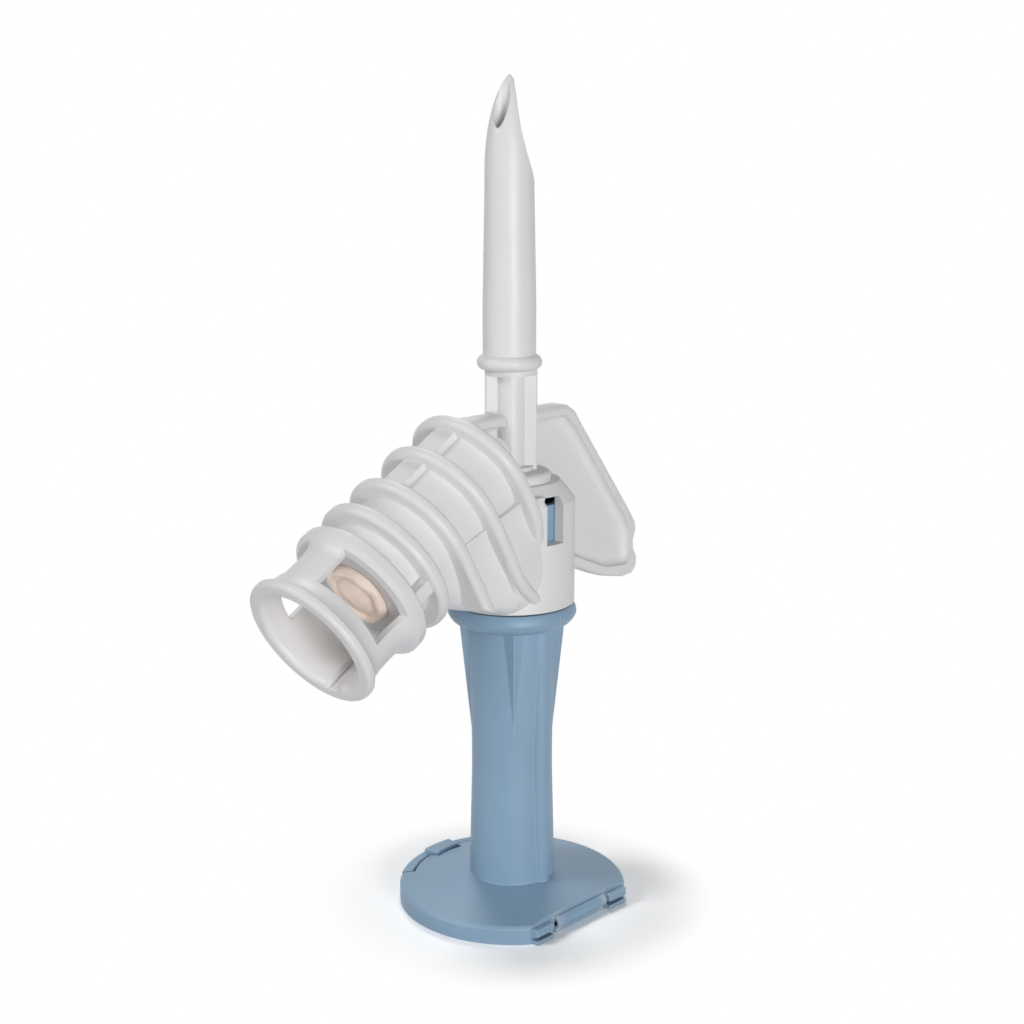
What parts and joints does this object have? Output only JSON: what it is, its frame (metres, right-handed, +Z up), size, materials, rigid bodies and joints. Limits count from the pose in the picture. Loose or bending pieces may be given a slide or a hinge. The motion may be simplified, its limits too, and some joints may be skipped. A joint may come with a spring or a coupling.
{
  "type": "infusion adapter",
  "caption": "Infusion adapter with a bag spike, a side arm with a bayonet connector, and a finger wing, standing in its protective cap with a hinged base lid",
  "frame": {"origin": "centre of the cap's base, on its flat underside, where the part stands", "axes": "+Z up along the cap, the tube and the spike; the side arm points along -X and 30 degrees down; the finger wing points along +X; the base lid's hinge is on -Y"},
  "size_m": [0.0558, 0.0248, 0.0956],
  "materials": {
    "white_plastic": "satin injection moulding",
    "blue_plastic": "satin injection moulding",
    "membrane_rubber": "soft matte"
  },
  "bodies": {
    "cap": {"cap_tube": "blue_plastic"},
    "adapter": {"adapter_body": "white_plastic", "spike": "white_plastic", "connector_housing": "white_plastic", "membrane": "membrane_rubber"},
    "lid": {"base_lid": "blue_plastic"}
  },
  "joints": [
    {"name": "cap_pull", "type": "slide", "parent": "cap", "child": "adapter", "axis": [0, 0, 1], "range_m": [0, 0.015]},
    {"name": "lid_hinge", "type": "hinge", "parent": "cap", "child": "lid", "pos_m": [0, -0.01055, 0.0002], "axis": [-1, 0, 0], "range_deg": [0, 180]}
  ]
}
